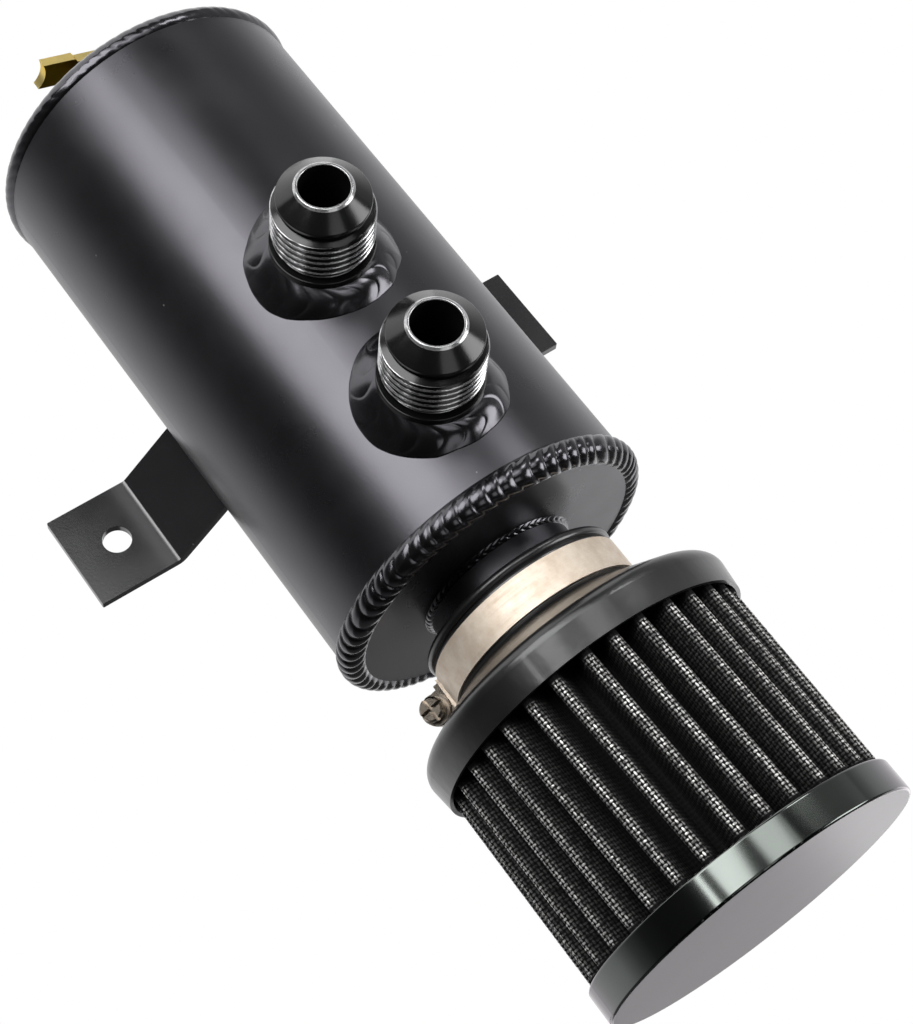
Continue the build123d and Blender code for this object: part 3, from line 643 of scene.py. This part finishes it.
gauze_mat, tree, shader = material("wire_gauze", Specular_IOR_Level=0.12)
weave = add(tree, "ShaderNodeGroup", node_tree=weave_group)
sunk = add(tree, "ShaderNodeAttribute", attribute_name="sunk").outputs["Fac"]
potted = add(tree, "ShaderNodeAttribute", attribute_name="potted").outputs["Fac"]
# The wire is bright metal only at its knuckles on the ridges, a painted highlight; painted shade darkens it
# on the flanks, in the valleys and at the potted ends.
lint = spread(tree, noise(tree, place(tree), scale=1000.0, detail=3.0), span=(0.36, 0.6), levels=(0.14, 1.0))
knuckle = spread(tree, weave.outputs["Height"], span=(0.52, 0.66))
in_light = maths(tree, "MULTIPLY", maths(tree, "SUBTRACT", 1.0, sunk), maths(tree, "SUBTRACT", 1.0, potted))
painted_glint = maths(tree, "MULTIPLY", maths(tree, "MULTIPLY", knuckle, lint), in_light)
wire_tint = blend(tree, painted_glint, WIRE_DARK, WIRE_BRIGHT)
feed(tree, shader, Base_Color=blend(tree, weave.outputs["Wire"], COTTON_BLACK, wire_tint), Metallic=painted_glint,
     Roughness=spread(tree, painted_glint, levels=(0.75, 0.34)),
     Normal=relief(tree, weave.outputs["Height"], strength=1.0, depth=0.4 * MM))
finish_piece(gauze_sheet("filter_gauze"), gauze_mat, "can", "gauze", "filter_pleats")

# The cap's flat face is a pale mauve grey: painted reflection of the bright room on a dark pressed face. Its
# rim is dark green-grey metal.
FACE_R = 37.5
FACE_REFLECTED_DARK = (0.20, 0.166, 0.196, 1)
FACE_REFLECTED_LIGHT = (0.25, 0.21, 0.245, 1)
RIM_DARK = (0.09, 0.10, 0.093, 1)
RIM_LIGHT = (0.14, 0.152, 0.143, 1)

cap_mat, tree, shader = material("pressed_cap", Specular_IOR_Level=0.9, Specular_Tint=(1.0, 0.95, 0.99, 1))
spot = add(tree, "ShaderNodeSeparateXYZ", {0: place(tree)})
from_axis = maths(tree, "ADD", spot.outputs["Y"], -AXIS_Y)
across_squared = maths(tree, "MULTIPLY", spot.outputs["X"], spot.outputs["X"])
cap_r = maths(tree, "SQRT", maths(tree, "ADD", across_squared, maths(tree, "MULTIPLY", from_axis, from_axis)))
face = maths(tree, "LESS_THAN", cap_r, FACE_R * MM)
mottle = noise(tree, place(tree), scale=60.0, detail=6.0)
rim_tint = blend(tree, mottle, RIM_DARK, RIM_LIGHT)
feed(tree, shader, Base_Color=blend(tree, face, rim_tint, blend(tree, mottle, FACE_REFLECTED_DARK, FACE_REFLECTED_LIGHT)),
     Metallic=maths(tree, "SUBTRACT", 1.0, face), Roughness=spread(tree, face, levels=(0.12, 0.3)))
dress(cap_mat, "filter_end_cap")

# Hose clamp: a slotted stainless band, its pressed housing and a plated worm screw, round the boot's sleeve.
# The band is rolled bright, with fine lines along its length and a warm cast.
ROLL_LINES = (60.0, 60.0, 5000.0)
STEEL_WARM = (0.50, 0.38, 0.27, 1)
STEEL_BRIGHT = (0.92, 0.86, 0.77, 1)
PLATING_DARK = (0.10, 0.085, 0.07, 1)
PLATING_BRIGHT = (0.58, 0.51, 0.43, 1)

steel, tree, shader = material("rolled_stainless", Metallic=1.0, Anisotropic=0.4)
lines = add(tree, "ShaderNodeVectorMath", {0: place(tree), 1: ROLL_LINES}, operation="MULTIPLY").outputs[0]
roll = noise(tree, lines, scale=1.0, detail=3.0)
mark = noise(tree, place(tree), scale=260.0, detail=6.0, roughness=0.7)
feed(tree, shader, Base_Color=blend(tree, mark, STEEL_WARM, STEEL_BRIGHT),
     Roughness=spread(tree, roll, span=(0.3, 0.7), levels=(0.54, 0.66)),
     Normal=relief(tree, roll, strength=0.2, depth=0.02 * MM))
dress(steel, "clamp_band")

plated, tree, shader = material("dark_plating", Metallic=1.0)
bloom = noise(tree, place(tree), scale=420.0, detail=5.0)
feed(tree, shader, Base_Color=blend(tree, bloom, PLATING_DARK, PLATING_BRIGHT),
     Roughness=spread(tree, bloom, span=(0.3, 0.7), levels=(0.4, 0.22)))
dress(plated, "clamp_housing", "clamp_screw")

# Studio: a small pale floor far below the hanging part, and a room that is bright behind it and dim in front.
# The camera sees plain white past the part. Soft boxes light it: a large key low in front, smaller ones in
# front, to one side and above, and one behind.
VIEW_AZ = math.radians(-69.3)
ROOM_TURN = -0.15
ROOM_FAR = (0.95, 0.95, 0.95, 1)
ROOM_NEAR = (0.03, 0.03, 0.031, 1)
ROOM_STEPS = ((0.20, 0.92), (0.36, 0.70), (0.42, 0.45), (0.50, 0.20), (0.60, 0.06), (0.72, 0.03))
ROOM_COOL = 1.02
FLOOR_Z = -0.62
FLOOR_Y = -0.05
FLOOR_HALF = 0.5
WHITE = (1, 1, 1, 1)
BLACK = (0, 0, 0, 1)


def seen_in_mirror(tree, path):
    """Whether a ray comes from a reflection or through something clear."""
    return maths(tree, "MAXIMUM", path.outputs["Is Glossy Ray"], path.outputs["Is Transmission Ray"])


floor_corners = [(-1, -1), (1, -1), (1, 1), (-1, 1)]
floor_mesh = bpy.data.meshes.new("floor")
floor_mesh.from_pydata([(FLOOR_HALF * x, FLOOR_Y + FLOOR_HALF * y, FLOOR_Z) for x, y in floor_corners], [],
                       [(0, 1, 2, 3)])
floor = bpy.data.objects.new("floor", floor_mesh)
bpy.context.scene.collection.objects.link(floor)
floor_mat, tree, shader = material("pale_floor", Base_Color=(0.86, 0.86, 0.86, 1), Roughness=0.9)
path = add(tree, "ShaderNodeLightPath")
glow = add(tree, "ShaderNodeEmission", {"Color": WHITE, "Strength": 0.9})
both = add(tree, "ShaderNodeAddShader", {0: shader.outputs[0], 1: glow.outputs[0]})
in_view = maths(tree, "MAXIMUM", path.outputs["Is Camera Ray"], seen_in_mirror(tree, path))
pick = add(tree, "ShaderNodeMixShader", {0: in_view, 1: shader.outputs[0], 2: both.outputs[0]})
feed(tree, tree.nodes["Material Output"], Surface=pick.outputs[0])
floor_mesh.materials.append(floor_mat)

world = bpy.data.worlds.new("studio")
world.use_nodes = True
bpy.context.scene.world = world
tree = world.node_tree
tree.nodes.clear()
way = add(tree, "ShaderNodeTexCoord").outputs["Generated"]
front = (math.cos(VIEW_AZ + ROOM_TURN), math.sin(VIEW_AZ + ROOM_TURN), 0.0)
facing = add(tree, "ShaderNodeVectorMath", {0: way, 1: front}, operation="DOT_PRODUCT").outputs["Value"]
ramp = add(tree, "ShaderNodeValToRGB", {0: maths(tree, "MULTIPLY_ADD", facing, 0.5, 0.5)})
ramp.color_ramp.elements[0].position = 0.0
ramp.color_ramp.elements[0].color = ROOM_FAR
ramp.color_ramp.elements[1].position = 1.0
ramp.color_ramp.elements[1].color = ROOM_NEAR
for position, value in ROOM_STEPS:
    ramp.color_ramp.elements.new(position).color = (value, value, value * ROOM_COOL, 1)
up = add(tree, "ShaderNodeSeparateXYZ", {0: way}).outputs["Z"]
overhead = spread(tree, up, span=(0.18, 0.28), levels=(1.0, 0.13))
room_tint = blend(tree, overhead, BLACK, ramp.outputs[0])
room = add(tree, "ShaderNodeBackground", {"Color": room_tint, "Strength": 0.9})
backdrop = add(tree, "ShaderNodeBackground", {"Color": room_tint, "Strength": 1.0})
white = add(tree, "ShaderNodeBackground", {"Color": WHITE, "Strength": 1.0})
path = add(tree, "ShaderNodeLightPath")
mirrored = seen_in_mirror(tree, path)
seen = add(tree, "ShaderNodeMixShader", {0: mirrored, 1: room.outputs[0], 2: backdrop.outputs[0]})
pick = add(tree, "ShaderNodeMixShader",
           {0: path.outputs["Is Camera Ray"], 1: seen.outputs[0], 2: white.outputs[0]})
add(tree, "ShaderNodeOutputWorld", {"Surface": pick.outputs[0]})


def soft_box(name, turn, reach, height, aim, size, power, roll=0.0):
    """Area light on a circle about the can, turned from the camera's side, facing a height on its axis."""
    light = bpy.data.lights.new(name, "AREA")
    light.shape = "RECTANGLE"
    light.size, light.size_y = size
    light.energy = power
    obj = bpy.data.objects.new(name, light)
    az = VIEW_AZ + math.radians(turn)
    obj.location = (reach * math.cos(az), AXIS_Y + reach * math.sin(az), height)
    aimed = (obj.location - Vector((0, AXIS_Y, aim))).to_track_quat("Z", "Y")
    obj.rotation_euler = (aimed @ Quaternion((0, 0, 1), math.radians(roll))).to_euler()
    bpy.context.scene.collection.objects.link(obj)


soft_box("key_strip", turn=4, reach=0.9, height=-0.29, aim=0.0, size=(0.48, 0.76), power=6.3, roll=28)
soft_box("key_shoulder", turn=-22, reach=0.9, height=-0.28, aim=0.0, size=(0.3, 0.8), power=1.7, roll=28)
soft_box("flange_side", turn=-58, reach=1.0, height=-0.16, aim=0.1, size=(0.3, 0.22), power=1.6)
soft_box("thin_strip", turn=18, reach=1.0, height=-0.06, aim=0.1, size=(0.06, 0.36), power=0.5)
soft_box("front_right", turn=-31, reach=1.0, height=0.08, aim=0.1, size=(0.42, 0.5), power=0.9)
soft_box("side_fill", turn=-76, reach=1.0, height=-0.25, aim=0.0, size=(0.9, 0.9), power=0.58)
soft_box("high_side", turn=-85, reach=0.8, height=0.5, aim=0.03, size=(0.45, 0.45), power=3.8)
soft_box("top_front", turn=-18, reach=0.6, height=0.75, aim=0.05, size=(0.4, 0.4), power=0.55)
soft_box("back_panel", turn=203, reach=0.95, height=0.42, aim=0.07, size=(0.7, 0.5), power=1.0)

camera = bpy.data.cameras.new("photo_view")
camera.sensor_width = 36.0
camera.lens = 75.283
camera.shift_x = -0.002
camera.clip_start = 0.01
view = bpy.data.objects.new("photo_view", camera)
view.location = (0.154182, -0.449418, 0.222349)
view.rotation_mode = "QUATERNION"
view.rotation_quaternion = Quaternion((0.12594, 0.280801, -0.49175, 0.814538))
bpy.context.scene.collection.objects.link(view)
bpy.context.scene.camera = view
